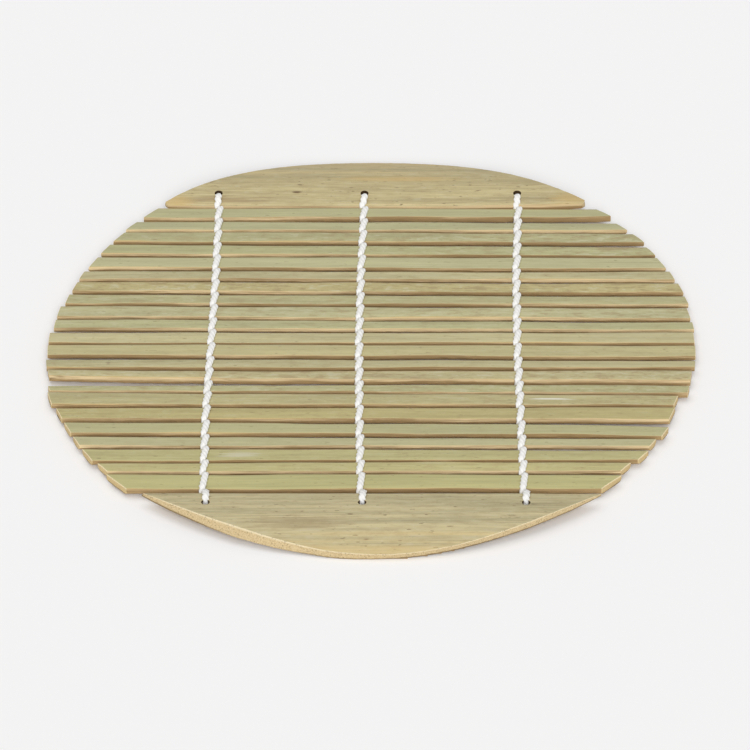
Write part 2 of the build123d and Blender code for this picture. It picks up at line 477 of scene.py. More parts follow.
# heights of the waves, from trough to crest, and of the crown
EDGE_WAVES = 0.9
CALM_EDGE_WAVES = 0.4
WOOL_WAVES = 0.5
BODY_WAVES = 0.5
CROWN = 0.1
SLAT_SOFT_EDGE = 0.16
# how far in from each long edge the split fibres reach, as a share of the slat's width
WOOL_REACH = 0.3
# moves the fibre pattern of each slat, so that no two slats are alike
CHANCE_STEP = 7.31
# the free ends of some slats have warped: how far to the rear, for the left end's rear and
# front edge, then for the right end's
WARPED_ENDS = {
    1: (0, 0, 0, 0.6),
    13: (0, 0.3, 0, 0),
    14: (0.8, 1.1, 0, 0),
    15: (-0.5, -0.1, 0, 0),
    17: (0, 0, 0, 0.3),
    18: (0, 0, -0.9, -0.9),
    19: (0, 0, -0.3, 0),
}
WARP_START = 49
# how brown each slat's split side is, from rear to front: partly its own tone, partly painted
# shade of its gaps
SIDE_SHARES = (
    0.5, 0.05, 0.65, 0.6, 0.5, 0.35, 0.6, 0.45, 0.3, 0.2, 0.9,
    0.8, 0.85, 0.2, 0.3, 0.75, 0.3, 0.95, 0.15, 0.9, 0.3, 1.0,
)


def slat_edge(row, side):
    """Where a slat's rear (0) or front (1) edge lies along Y, as a function of x."""
    middle, rise = row[side], row[side + 2]
    return lambda x: middle + rise * x / MAT_RADIUS


def slat_corner(row, side, end):
    """The plan corner of a slat: side 0 is its rear, end -1 its left."""
    shift = row[4] if end < 0 else row[5]
    x = end * sqrt(MAT_RADIUS**2 - row[side] ** 2) + shift
    return x, slat_edge(row, side)(x)


def make_slat(number, row):
    """A slat from a stretched cube: trimmed at both ends, rounded below and subdivided."""
    rear, front = row[:2]
    bpy.ops.object.select_all(action="DESELECT")
    bpy.ops.mesh.primitive_cube_add(
        size=MM,
        location=(0, (rear + front) / 2 * MM, (SLAT_TOP + SLAT_BOTTOM) / 2 * MM),
        scale=(MAT_RADIUS, rear - front, SLAT_TOP - SLAT_BOTTOM),
    )
    slat = new_piece(f"bamboo_slat_{number:02d}")
    bpy.ops.object.mode_set(mode="EDIT")
    for end in (-1, 1):
        for side in (0, 1):
            here = Vector((end * MAT_RADIUS / 2, row[side], 0)) * MM
            there = Vector((*slat_corner(row, side, end), 0)) * MM
            select_where(slat, "VERT", lambda p: (p[0].xy - here.xy).length < 0.01 * MM)
            bpy.ops.transform.translate(value=there - here)
    low = (SLAT_BOTTOM + 0.1) * MM
    select_where(slat, "EDGE", lambda p: along_x(p) and max(p[0].z, p[1].z) < low)
    under_round = min(LESS_ROUND.get(number, UNDER_ROUND), MOST_ROUND * (rear - front))
    bpy.ops.mesh.bevel(offset=under_round * MM, segments=UNDER_STEPS, affect="EDGES")
    subdivide_where(slat, along_x, ALONG_CUTS)
    subdivide_where(slat, along_x, 1)
    top = (SLAT_TOP - 0.01) * MM
    subdivide_where(slat, lambda p: (p[0].z > top) != (p[1].z > top), UP_CUTS)
    wide = 0.7 * (rear - front) * MM
    subdivide_where(slat, lambda p: abs(p[0].y - p[1].y) > wide, ACROSS_CUTS)
    bpy.ops.object.mode_set(mode="OBJECT")
    return slat


# %% Its waves, its warped ends and what its finish reads
def warp_ends(slat, number, row):
    """Bend the free ends of a slat, beyond its outer cords, to the rear or to the front."""
    edges = WARPED_ENDS.get(number, (0, 0, 0, 0))
    longest = sqrt(MAT_RADIUS**2 - min(abs(row[0]), abs(row[1])) ** 2)
    for vertex in slat.data.vertices:
        x, y = vertex.co.x / MM, vertex.co.y / MM
        free = max(abs(x) - WARP_START, 0) / (longest - WARP_START)
        across = clamp((row[0] - y) / (row[0] - row[1]))
        rear, front = edges[:2] if x < 0 else edges[2:]
        vertex.co.y += (rear + (front - rear) * across) * free**2 * MM


def finish_slat(slat, number, row):
    """Give a slat its waves, its crown and its soft edges, and store what its finish reads."""
    rear_edge, front_edge = slat_edge(row, 0), slat_edge(row, 1)

    def across(place):
        x = place.x / MM
        return (rear_edge(x) - place.y / MM) / (rear_edge(x) - front_edge(x))

    def down(place):
        return (SLAT_TOP - place.z / MM) / (SLAT_TOP - SLAT_BOTTOM)

    def wool(place):
        near_edge = min(across(place), 1 - across(place)) < WOOL_REACH
        return 2 * down(place) if near_edge else 0

    weigh(slat, "front", lambda p: 2 * across(p) - 1)
    weigh(slat, "rear", lambda p: 1 - 2 * across(p))
    weigh(slat, "crown", lambda p: (1 - (2 * across(p) - 1) ** 2) * (1 - down(p)))
    weigh(slat, "split sides", wool)
    keep_value(slat, "across", across)
    keep_value(slat, "down", down)
    rear_waves = CALM_EDGE_WAVES if number == 1 else EDGE_WAVES
    displace(slat, long_waves, smooth_clouds, "Y", EDGE_WAVES, "front")
    displace(slat, other_waves, smooth_clouds, "Y", rear_waves, "rear")
    displace(slat, fibre_waves, fine_clouds, "Y", WOOL_WAVES, "split sides")
    displace(slat, body_waves, smooth_clouds, "Z", BODY_WAVES)
    crown = slat.modifiers.new("crown", "DISPLACE")
    crown.direction = "Z"
    crown.mid_level = 0
    crown.strength = CROWN * MM
    crown.vertex_group = "crown"
    soften_edges(slat, SLAT_SOFT_EDGE)
    apply_modifiers(slat)
    warp_ends(slat, number, row)
    lightness, red, blue, mottle_left, mottle_right = SKINS[number - 1]
    mottle_share = ((-MAT_RADIUS, mottle_left), (MAT_RADIUS, mottle_right))
    green = SKIN_GREEN * lightness
    keep_colour(slat, "skin tint", (green * red**2.2, green, green * blue**2.2))
    keep_value(slat, "mottle", lambda p: between_shares(mottle_share, p.x / MM))
    keep_value(slat, "brown side", lambda p: SIDE_SHARES[number - 1])
    keep_value(slat, "chance", lambda p: number * CHANCE_STEP % 10)


slats = {}
for number, row in enumerate(SLATS, start=1):
    slats[number] = make_slat(number, row)
    finish_slat(slats[number], number, row)
print("one slat has", len(slats[1].data.polygons), "faces")

# %% [markdown]
# ## End segments
# Each end segment was split off a thick culm, so it keeps the arch of the culm's wall. That
# is how it is made here too: from a tube of the culm's radius only a strip is kept, then it is
# trimmed round by one straight cut after another, and extruded down to the thickness of the
# wall. Three holes are drilled through it for the cords.

# %% The culm that the end segments come from
SEGMENT_INNER = 72.0
SEGMENT_DEPTH = 25.5
SEGMENT_THICK = 2.2
INNER_TOP = 4.0
OUTER_TOP = 2.05
ARCH = 2.0


def circle_through(a, b, c):
    """Centre and radius of the circle through three points of a side view."""
    d = 2 * (a[0] * (b[1] - c[1]) + b[0] * (c[1] - a[1]) + c[0] * (a[1] - b[1]))
    sa, sb, sc = (p[0] ** 2 + p[1] ** 2 for p in (a, b, c))
    y = (sa * (b[1] - c[1]) + sb * (c[1] - a[1]) + sc * (a[1] - b[1])) / d
    z = (sa * (c[0] - b[0]) + sb * (a[0] - c[0]) + sc * (b[0] - a[0])) / d
    return (y, z), sqrt((a[0] - y) ** 2 + (a[1] - z) ** 2)


arch_middle = (INNER_TOP + OUTER_TOP) / 2 + ARCH
arch_centre, culm_radius = circle_through(
    (0, INNER_TOP), (SEGMENT_DEPTH / 2, arch_middle), (SEGMENT_DEPTH, OUTER_TOP)
)
print("the culm was", round(2 * culm_radius), "mm thick")


def arch_top(depth):
    """Height of the skin, this far out from the inner edge, in millimetres."""
    return arch_centre[1] + sqrt(culm_radius**2 - (depth - arch_centre[0]) ** 2)


# %% The trimmed outline, the tips and the holes
RIM_STEP_DEG = 2.5
# the share of the rim's slant by which the skin stands back from the round outline
SLANT_ABOVE = 0.6
TIP_ROUND = {1: 1.3, -1: 0.3}
TIP_FLARE = {1: 1.2, -1: 1.3}
HOLE_SETBACK = 5.2
HOLE_Y = SEGMENT_INNER + HOLE_SETBACK
HOLE_RADIUS = 1.25
CORD_PLACES = {"left": -48.0, "middle": -2.5, "right": 45.1}
# how far the saw leant outwards on its way down, by the place along X, in millimetres
RIM_SLANT = {
    1: ((-100, 0.2), (100, 0.2)),
    -1: (
        (-66, 1.0), (-52, 1.6), (-38, 2.3), (-28, 1.6), (-17, 0.5), (-5, 0.1),
        (5, -0.4), (25, -0.4), (40, 0.1), (52, 0.4), (66, 0.5),
    ),
}
# the share of the thickness that is left towards the tips, by the place along X
TIP_THIN = {
    1: ((-67, 0.35), (-60, 0.7), (-50, 1), (60, 1), (67, 0.8)),
    -1: (
        (-67, 0.12), (-64, 0.4), (-58, 0.75), (-46, 1),
        (46, 1), (58, 0.75), (64, 0.4), (67, 0.12),
    ),
}
# how much lower or higher than the others the inner edge lies, by the place along X
INNER_SINK = {
    1: ((-60, -0.3), (-20, -0.45), (20, -0.4), (45, 0.2), (66, 0.8)),
    -1: ((-66, 0), (66, 0)),
}


def rim_radius(side, angle):
    """The radius of the trimmed outline of the skin. It flares a little at the tips."""
    tip_cos = sqrt(MAT_RADIUS**2 - SEGMENT_INNER**2) / MAT_RADIUS
    flare = TIP_FLARE[side] * (abs(cos(angle)) / tip_cos) ** 6
    slant = between_shares(RIM_SLANT[side], MAT_RADIUS * cos(angle))
    return MAT_RADIUS + flare - SLANT_ABOVE * slant


# %% One end segment, cut from the culm
CULM_STEPS = 300
TIP_STEPS = 6
THICK_CUTS = 4
HOLE_STEPS = 40
DRILL_LENGTH = 12
SEGMENT_WAVES = 0.4
SEGMENT_BODY_WAVES = 0.2
RIM_WEAR = 0.55
SEGMENT_SOFT_EDGE = 0.18
SEGMENT_MOTTLE = 0.45
SEGMENT_CHANCE = 3.3
# how far from the inner edge it wanders, and how far it sinks
WANDER_DEPTH = 4
SINK_DEPTH = 9


def make_segment(name, side, shift):
    """An end segment. Side is 1 at the rear, and shift moves its round outline along X."""
    bpy.ops.object.select_all(action="DESELECT")
    bpy.ops.mesh.primitive_cylinder_add(
        vertices=CULM_STEPS,
        radius=culm_radius * MM,
        depth=2 * MAT_RADIUS * MM,
        end_fill_type="NOTHING",
        location=(0, side * (SEGMENT_INNER + arch_centre[0]) * MM, arch_centre[1] * MM),
        rotation=(0, radians(90), 0),
    )
    segment = new_piece(name)
    bpy.ops.object.mode_set(mode="EDIT")
    cut_away((0, side * SEGMENT_INNER * MM, 0), (0, -side, 0))
    cut_away((0, side * (MAT_RADIUS + 1) * MM, 0), (0, side, 0))
    cut_away((0, 0, (OUTER_TOP - 1) * MM), (0, 0, -1))
    subdivide_where(segment, along_x, ALONG_CUTS)
    subdivide_where(segment, along_x, 1)
    tip_angle = atan2(SEGMENT_INNER, sqrt(MAT_RADIUS**2 - SEGMENT_INNER**2))
    steps = ceil((pi - 2 * tip_angle) / radians(RIM_STEP_DEG))
    for step in range(steps + 1):
        angle = tip_angle + (pi - 2 * tip_angle) * step / steps
        out = Vector((cos(angle), side * sin(angle), 0))
        cut_away((out * rim_radius(side, angle) + Vector((shift, 0, 0))) * MM, out)
    tip_round = TIP_ROUND[side]
    inset = rim_radius(side, tip_angle) - tip_round
    tip_x = sqrt(inset**2 - (SEGMENT_INNER + tip_round) ** 2)
    for end in (-1, 1):
        centre = Vector((end * tip_x + shift, side * (SEGMENT_INNER + tip_round), 0))
        for step in range(1, TIP_STEPS):
            angle = -pi / 2 + (pi / 2 + tip_angle) * step / TIP_STEPS
            out = Vector((end * cos(angle), side * sin(angle), 0))
            cut_away((centre + out * tip_round) * MM, out)
    bpy.ops.object.mode_set(mode="OBJECT")
    sheet = bmesh.new()
    sheet.from_mesh(segment.data)
    inner = (SEGMENT_INNER + 0.05) * MM
    outline = [v.index for v in sheet.verts if v.is_boundary and side * v.co.y > inner]
    sheet.free()
    segment.vertex_groups.new(name="sawn").add(outline, 1.0, "REPLACE")
    bpy.ops.object.mode_set(mode="EDIT")
    bpy.ops.mesh.select_all(action="SELECT")
    bpy.ops.mesh.extrude_region_move(
        TRANSFORM_OT_translate={"value": (0, 0, -SEGMENT_THICK * MM)}
    )
    upright = 0.9 * SEGMENT_THICK * MM
    subdivide_where(segment, lambda p: abs(p[0].z - p[1].z) > upright, THICK_CUTS)
    bpy.ops.mesh.select_all(action="SELECT")
    bpy.ops.mesh.normals_make_consistent(inside=False)
    bpy.ops.object.mode_set(mode="OBJECT")
    return segment


# %% Its holes, its wear and what its finish reads
def drill(piece, side):
    """Cut the three cord holes, each with its own cutter, and take the cutters away again."""
    cutters = []
    for cord_x in CORD_PLACES.values():
        bpy.ops.object.select_all(action="DESELECT")
        bpy.ops.mesh.primitive_cylinder_add(
            vertices=HOLE_STEPS,
            radius=HOLE_RADIUS * MM,
            depth=DRILL_LENGTH * MM,
            location=(cord_x * MM, side * HOLE_Y * MM, 3 * MM),
        )
        cutters.append(new_piece("drill"))
    for cutter in cutters:
        cut = piece.modifiers.new("drill", "BOOLEAN")
        cut.operation = "DIFFERENCE"
        cut.solver = "EXACT"
        cut.object = cutter
    apply_modifiers(piece)
    for cutter in cutters:
        bpy.data.objects.remove(cutter)


def finish_segment(segment, side, shift, tint):
    """Roughen the trimmed rim, let the inner edge wander, and soften the edges."""
    vertices = segment.data.vertices

    def depth(place):
        return side * place.y / MM - SEGMENT_INNER

    def below(place):
        return (arch_top(clamp(depth(place), 0, SEGMENT_DEPTH)) - place.z / MM) / SEGMENT_THICK

    sawn = segment.vertex_groups["sawn"].index
    on_rim = [any(g.group == sawn and g.weight > 0.5 for g in v.groups) for v in vertices]
    rim = segment.vertex_groups.new(name="rim")
    for vertex, is_rim in zip(vertices, on_rim):
        if is_rim:
            # the lips of the rim are worn less than its middle
            low = clamp(below(vertex.co))
            rim.add([vertex.index], 1.0 if 0.1 < low < 0.95 else 0.25, "REPLACE")
            out = Vector((vertex.co.x - shift * MM, vertex.co.y, 0)).normalized()
            vertex.co += out * between_shares(RIM_SLANT[side], vertex.co.x / MM) * low * MM
    weigh(segment, "inner", lambda p: 1 - depth(p) / WANDER_DEPTH)
    keep_value(segment, "across", lambda p: clamp(depth(p) / SEGMENT_DEPTH))
    keep_value(segment, "down", below)
    keep_values(segment, "on rim", [float(is_rim) for is_rim in on_rim])
    for vertex in vertices:
        left = between_shares(TIP_THIN[side], vertex.co.x / MM)
        vertex.co.z += (1 - left) * clamp(below(vertex.co)) * SEGMENT_THICK * MM
        inwards = max(1 - depth(vertex.co) / SINK_DEPTH, 0)
        vertex.co.z += between_shares(INNER_SINK[side], vertex.co.x / MM) * inwards * MM
    displace(segment, long_waves, smooth_clouds, "Y", SEGMENT_WAVES, "inner")
    displace(segment, rough_waves, fine_clouds, "NORMAL", RIM_WEAR, "rim")
    displace(segment, body_waves, smooth_clouds, "Z", SEGMENT_BODY_WAVES)
    soften_edges(segment, SEGMENT_SOFT_EDGE)
    apply_modifiers(segment)
    keep_colour(segment, "skin tint", tint)
    keep_value(segment, "mottle", lambda p: SEGMENT_MOTTLE)
    keep_value(segment, "chance", lambda p: SEGMENT_CHANCE + side)


segments = {}
for segment_name, side, shift, tint in (
    ("rear_end", 1, 0.8, (0.497, 0.418, 0.222)),
    ("front_end", -1, 0.0, (0.513, 0.445, 0.252)),
):
    segment = make_segment(f"{segment_name}_arch", side, shift)
    drill(segment, side)
    finish_segment(segment, side, shift, tint)
    segments[segment_name] = segment
    print(segment_name, len(segment.data.polygons), "faces")
for helper in WAVE_HELPERS:
    bpy.data.objects.remove(helper)

# %% [markdown]
# ## Cords
# Each cord is two strands of soft cotton, and each strand is three yarns twisted together.
# Over every slat one strand lies on top and one underneath, and they change places in every
# gap. So a strand is a tube with three rounded lobes that turn as it goes. It is swept in mesh
# code along its path, because its lobes have to meet the next length exactly.
# A length runs from the middle of one slat to the middle of the next, because it has to bend
# at the gap between them.

# %% A twisted strand
OVER = SLAT_TOP + 0.58
UNDER = 0.63
# half the width and half the height of a strand, squeezed in a gap and spread over a slat
STRAND_WIDE = (0.44, 0.94)
STRAND_HIGH = (0.80, 0.62)
STRAND_SMOOTH_DEG = 60
YARNS = 3
RING = 24
TWIST_LENGTH = 5.2
LOBE = 0.13
# how far a strand steps aside in a gap and over a slat
SIDE_STEP = 0.92
SIDE_STEP_OVER = 0.36
# how uneven the hairs make a strand's surface, as a share of its size
FUZZ = 0.06


def strand_mesh(paths, guide, wide, high):
    """Vertices, faces and UVs of closed tubes along paths. The guide is a direction that the
    wide side of the strand follows. A path is a list of points in millimetres."""
    places, faces, uvs = [], [], []
    chance = np.random.default_rng(5)
    guide = np.array(guide, float)
    angles = 2 * pi * np.arange(RING) / RING
    for path in paths:
        points = np.array(path, float)
        steps = np.linalg.norm(np.diff(points, axis=0), axis=1)
        run = np.concatenate([[0], np.cumsum(steps)])
        turns = max(1, round(YARNS * run[-1] / TWIST_LENGTH)) / YARNS
        ways = np.gradient(points, run, axis=0)
        ways /= np.linalg.norm(ways, axis=1)[:, None]
        sides = guide - (ways @ guide)[:, None] * ways
        sides /= np.linalg.norm(sides, axis=1)[:, None]
        ups = np.cross(sides, ways)
        first = len(places)
        spread = np.clip(np.abs(points[:, 2] - HINGE_HEIGHT) / (OVER - HINGE_HEIGHT), 0, 1)
        wides = wide[0] + (wide[1] - wide[0]) * spread
        highs = high[0] + (high[1] - high[0]) * spread
        turned = turns * run / run[-1]
        for k in range(len(points)):
            phase = 2 * pi * turns * run[k] / run[-1]
            swell = 1 + LOBE * np.cos(YARNS * (angles - phase))
            swell += FUZZ * sin(pi * k / (len(points) - 1)) * chance.uniform(-1, 1, RING)
            ring = (
                points[k]
                + np.outer(np.cos(angles) * swell * wides[k], sides[k])
                + np.outer(np.sin(angles) * swell * highs[k], ups[k])
            )
            ring[:, 2] = np.maximum(ring[:, 2], 0)
            places.extend(ring * MM)
            if k == 0:
                continue
            base = first + (k - 1) * RING
            for j in range(RING):
                after = (j + 1) % RING
                faces.append((base + j, base + after, base + RING + after, base + RING + j))
                for m, share in ((k - 1, j), (k - 1, j + 1), (k, j + 1), (k, j)):
                    uvs.append((run[m], share / RING - turned[m]))
        last = len(places) - RING
        faces.append(tuple(first + j for j in reversed(range(RING))))
        faces.append(tuple(last + j for j in range(RING)))
        uvs.extend([(0, 0)] * 2 * RING)
    return places, faces, uvs


def strand_piece(name, paths, guide=(1, 0, 0), wide=STRAND_WIDE, high=STRAND_HIGH):
    """One object that holds the strands along these paths."""
    places, faces, uvs = strand_mesh(paths, guide, wide, high)
    mesh = bpy.data.meshes.new(name)
    mesh.from_pydata([tuple(p) for p in places], [], faces)
    layer = mesh.uv_layers.new(name="along the yarn")
    layer.data.foreach_set("uv", [value for pair in uvs for value in pair])
    piece = bpy.data.objects.new(name, mesh)
    scene.collection.objects.link(piece)
    select_only(piece)
    bpy.ops.object.mode_set(mode="EDIT")
    bpy.ops.mesh.select_all(action="SELECT")
    bpy.ops.mesh.normals_make_consistent(inside=False)
    bpy.ops.object.mode_set(mode="OBJECT")
    bpy.ops.object.shade_smooth_by_angle(angle=radians(STRAND_SMOOTH_DEG))
    return piece


# %% [markdown]
# The path of a strand is a smooth rise and fall. It lies flat over a slat, dives in the gap,
# and slants from the right at the rear of a slat to the left at its front. The cords were not
# pulled quite straight either: each wanders by about a millimetre from one end to the other.

# %% Where the strands run
# how steeply a strand dives into a gap, and in how many steps it is drawn
STEEPNESS = 3.2
STITCH_STEPS = 18
# each cord's distance from the line between its holes, at five places from rear to front
CORD_WANDER = {
    "left": (0.35, 0.2, -0.35, -1.05, -0.75),
    "middle": (0.0, -0.9, -1.3, -1.0, -0.35),
    "right": (0.3, -0.9, -1.2, -0.8, -0.4),
}
gaps = [(SEGMENT_INNER + SLATS[0][0]) / 2]
for row_before, row_after in zip(SLATS, SLATS[1:]):
    gaps.append((row_before[1] + row_after[0]) / 2)
gaps.append((SLATS[-1][1] - SEGMENT_INNER) / 2)
print("gap places", [round(gap, 1) for gap in gaps])


def cord_middle(cord, y):
    """Where the middle of a cord is along X, at this place along Y."""
    shares = CORD_WANDER[cord]
    place = clamp((SEGMENT_INNER - y) / (2 * SEGMENT_INNER) * 4, 0, 3.999)
    k = int(place)
    return CORD_PLACES[cord] + shares[k] + (shares[k + 1] - shares[k]) * (place - k)


def stitch(cord, number, face, start, end):
    """Points of a strand over (1) or under (-1) slat `number`, between two shares of its
    way from the rear gap to the front gap."""
    rear, front = gaps[number - 1], gaps[number]
    height = (OVER if face > 0 else UNDER) - HINGE_HEIGHT
    points = []
    for k in range(STITCH_STEPS + 1):
        share = start + (end - start) * k / STITCH_STEPS
        y = rear + (front - rear) * share
        rise = tanh(STEEPNESS * sin(pi * share)) / tanh(STEEPNESS)
        step = SIDE_STEP + (SIDE_STEP_OVER - SIDE_STEP) * rise
        x = cord_middle(cord, y) + face * step * cos(pi * share)
        points.append((x, y, HINGE_HEIGHT + height * rise))
    return points


def smooth_path(knots, steps):
    """A smooth line through these points, as a spline of Blender gives it."""
    curve = bpy.data.curves.new("path", "CURVE")
    curve.dimensions = "3D"
    curve.resolution_u = steps
    spline = curve.splines.new("NURBS")
    spline.points.add(len(knots) - 1)
    for point, knot in zip(spline.points, knots):
        point.co = (*knot, 1)
    spline.order_u = 3
    spline.use_endpoint_u = True
    carrier = bpy.data.objects.new("path", curve)
    mesh = bpy.data.meshes.new_from_object(carrier)
    points = [tuple(v.co) for v in mesh.vertices]
    bpy.data.meshes.remove(mesh)
    bpy.data.objects.remove(carrier)
    return points


# %% The lengths of cord between the slats
HALF = 0.5
cords = {}
for gap in range(2, len(SLATS) + 1):
    paths = []
    for cord in CORD_PLACES:
        for face in (1, -1):
            before = stitch(cord, gap - 1, face, HALF, 1)
            after = stitch(cord, gap, -face, 0, HALF)
            paths.append(before + after[1:])
    cords[gap] = strand_piece(f"cords_at_gap_{gap:02d}", paths)
print("twined lengths", len(cords))

# %% [markdown]
# At the rear each cord is one strand, doubled through its hole. It comes up over slat 1, goes
# under the end segment, up through the hole, back over the segment, and down under slat 1.

# %% The cord ends at the rear
SEGMENT_OVER = 0.62
# heights of a strand over and under an end segment, at its inner edge and at its holes
INNER_LOW = INNER_TOP - SEGMENT_THICK - SEGMENT_OVER
INNER_HIGH = INNER_TOP + SEGMENT_OVER
HOLE_LOW = arch_top(HOLE_SETBACK) - SEGMENT_THICK - SEGMENT_OVER
HOLE_HIGH = arch_top(HOLE_SETBACK) + SEGMENT_OVER
PATH_STEPS = 8


def rear_loop(cord):
    """The knots of a strand from the gap, under the segment, up the hole, and back over it."""
    y = gaps[0]
    x, hole_x = cord_middle(cord, y), CORD_PLACES[cord]
    return [
        (x + SIDE_STEP, y, HINGE_HEIGHT),
        (x + SIDE_STEP, y + 0.1, 1.3),
        (x + SIDE_STEP * 0.9, y + 1.2, INNER_LOW),
        (hole_x + 0.2, HOLE_Y - 2.4, HOLE_LOW),
        (hole_x, HOLE_Y - 0.8, HOLE_LOW),
        (hole_x, HOLE_Y - 0.9, (HOLE_LOW + HOLE_HIGH) / 2),
        (hole_x, HOLE_Y - 1.15, HOLE_HIGH - 0.8),
        (hole_x, HOLE_Y - 1.9, HOLE_HIGH - 0.2),
        (hole_x - 0.1, HOLE_Y - 3.0, HOLE_HIGH - 0.2),
        (x - SIDE_STEP_OVER, y + 1.4, INNER_HIGH - 0.3),
        (x - SIDE_STEP, y + 0.2, INNER_TOP - 0.5),
        (x - SIDE_STEP, y, HINGE_HEIGHT),
    ]


paths = []
for cord in CORD_PLACES:
    loop = smooth_path(rear_loop(cord), PATH_STEPS)
    paths.append(stitch(cord, 1, 1, HALF, 0) + loop[1:-1] + stitch(cord, 1, -1, 0, HALF))
cords[1] = strand_piece("cords_at_gap_01", paths)

# %% [markdown]
# At the front one strand goes over the segment and down its hole, and the other goes along
# underneath. Both end in a knot that can't slip through the hole, with two short tails. Nobody
# sees the knots while the mat lies flat, but they show when it is rolled up or turned over.

# %% The cord ends at the front
KNOT_LOW = 0.75
LAST = len(SLATS)


def front_end_paths(cord):
    """The knots of the strand that goes down the hole, and of the one underneath."""
    y, hole_y = gaps[-1], -HOLE_Y
    x, hole_x = cord_middle(cord, y), CORD_PLACES[cord]
    over = [
        (x + SIDE_STEP, y, HINGE_HEIGHT),
        (x + SIDE_STEP, y - 0.2, INNER_TOP - 0.2),
        (x + SIDE_STEP_OVER, y - 1.4, INNER_HIGH + 0.1),
        (hole_x + 0.1, hole_y + 3.0, HOLE_HIGH - 0.1),
        (hole_x, hole_y + 2.15, HOLE_HIGH - 0.2),
        (hole_x, hole_y + 1.45, HOLE_HIGH - 0.9),
        (hole_x, hole_y + 1.2, 3.2),
        (hole_x, hole_y + 0.3, KNOT_LOW + 0.4),
    ]
    under = [
        (x - SIDE_STEP, y, HINGE_HEIGHT),
        (x - SIDE_STEP, y - 0.1, 1.4),
        (x - SIDE_STEP * 0.9, y - 1.2, INNER_LOW - 0.2),
        (hole_x - 0.5, hole_y + 1.6, KNOT_LOW + 0.3),
        (hole_x - 0.3, hole_y + 0.6, KNOT_LOW + 0.2),
    ]
    return over, under


paths = []
for cord in CORD_PLACES:
    for face, path_knots in zip((-1, 1), front_end_paths(cord)):
        end_path = smooth_path(path_knots, PATH_STEPS)
        paths.append(stitch(cord, LAST, face, HALF, 1) + end_path[1:])
cords[LAST + 1] = strand_piece(f"cords_at_gap_{LAST + 1}", paths)

# %% The knots below the front segment
# how wide the trefoil line is, how high its middle lies, and how much of it is tied
KNOT_SIZE = 0.42
KNOT_MIDDLE = 1.13
KNOT_SHARE = 0.97
KNOT_STEPS = 96
TAIL_STEPS = 6
KNOT_WIDE = (0.52, 0.52)
KNOT_HIGH = (0.6, 0.6)
TAIL_REACH = {"left": 0.3, "middle": 0.0, "right": 0.4}


def knot_path(cord_x, hole_y):
    """An overhand knot, pulled tight and pressed flat: a trefoil line."""
    points = []
    for k in range(KNOT_STEPS + 1):
        t = 2 * pi * k / KNOT_STEPS * KNOT_SHARE + 0.05
        x = KNOT_SIZE * (sin(t) + 2 * sin(2 * t))
        y = KNOT_SIZE * (cos(t) - 2 * cos(2 * t))
        points.append((cord_x + x, hole_y + y, KNOT_MIDDLE - KNOT_SIZE * sin(3 * t)))
    return points


def tail_path(cord_x, hole_y, side, reach):
    """A trimmed tail that curves away from its knot, low over the table."""
    return smooth_path([
        (cord_x + side * 0.4, hole_y - 0.2, 1.0),
        (cord_x + side * 0.8, hole_y - 1.4, 0.8),
        (cord_x + side * 1.2, hole_y - 2.4, 0.7),
        (cord_x + side * (1.6 + reach), hole_y - 3.3, 0.66),
    ], TAIL_STEPS)


knots = {}
for cord, cord_x in CORD_PLACES.items():
    paths = [knot_path(cord_x, -HOLE_Y)]
    for side in (-1, 1):
        paths.append(tail_path(cord_x, -HOLE_Y, side, TAIL_REACH[cord] * side))
    name = f"knot_and_tails_{cord}"
    knots[cord] = strand_piece(name, paths, (0, 0, 1), wide=KNOT_WIDE, high=KNOT_HIGH)
print("knots", list(knots))

# %% [markdown]
# ## Finishes
# Three things make bamboo look like bamboo: fine fibres that run along the slat, a skin whose
# colour changes from slat to slat, and paler, woolly sides where it was split. The fibre
# pattern serves the skin, the split sides and the drilled holes, so it is a node group. It
# reads Object coordinates, which stay with the slat when the mat is rolled up.

# %% The fibres of bamboo, as a group
# how each pattern is stretched along X, Y and Z, its detail and its roughness
PATTERNS = {
    "broad": ((14, 420, 300), 2, 0.5),
    "fine": ((70, 3000, 2200), 3, 0.5),
    "lines": ((26, 2100, 900), 1, 0.5),
    "specks": ((420, 1700, 900), 1, 0.5),
    "blotches": ((210, 800, 400), 4, 0.65),
}
# each output's pattern, and the range of it that is spread over 0 to 1, if any
OUTPUTS = {
    "Broad": ("broad", None),
    "Fine": ("fine", None),
    "Lines": ("lines", (0.66, 0.78)),
    "Specks": ("specks", (0.68, 0.78)),
    "Blotches": ("blotches", (0.5, 0.64)),
    "Bloom": ("blotches", (0.46, 0.36)),
}
fibre_group, fibre_in, fibre_out = new_group(
    "bamboo fibres", {"Place": "Vector", "Chance": "Float"}, dict.fromkeys(OUTPUTS, "Float")
)
chance = fibre_in.outputs["Chance"]
shift = feed(fibre_group, node(fibre_group, "ShaderNodeCombineXYZ"), {"X": chance, "Z": chance})
shifted = vector_maths(fibre_group, "ADD", {0: fibre_in.outputs["Place"], 1: shift[0]})
patterns = {}
for name, (stretch, detail, rough) in PATTERNS.items():
    place = stretched(fibre_group, shifted, stretch)
    patterns[name] = noise(fibre_group, place, detail=detail, rough=rough)
for name, (pattern, limits) in OUTPUTS.items():
    value = patterns[pattern]
    if limits:
        value = ramp(fibre_group, value, *limits)
    feed(fibre_group, fibre_out, {name: value})
print("fibre patterns", list(OUTPUTS))


def fibres(tree):
    """The fibre group, placed on a piece's own coordinates."""
    item = node(tree, "ShaderNodeGroup", node_tree=fibre_group)
    return feed(tree, item, {"Place": own_place(tree), "Chance": attribute(tree, "chance")})


# %% [markdown]
# The skin of the bamboo is waxy and green when fresh, and dries to a grey olive. Its colour is
# stored on each slat. Streaks change it by a few percent, mottled slats get brownish patches,
# and near the long edges the skin is worn through to the tan wood.

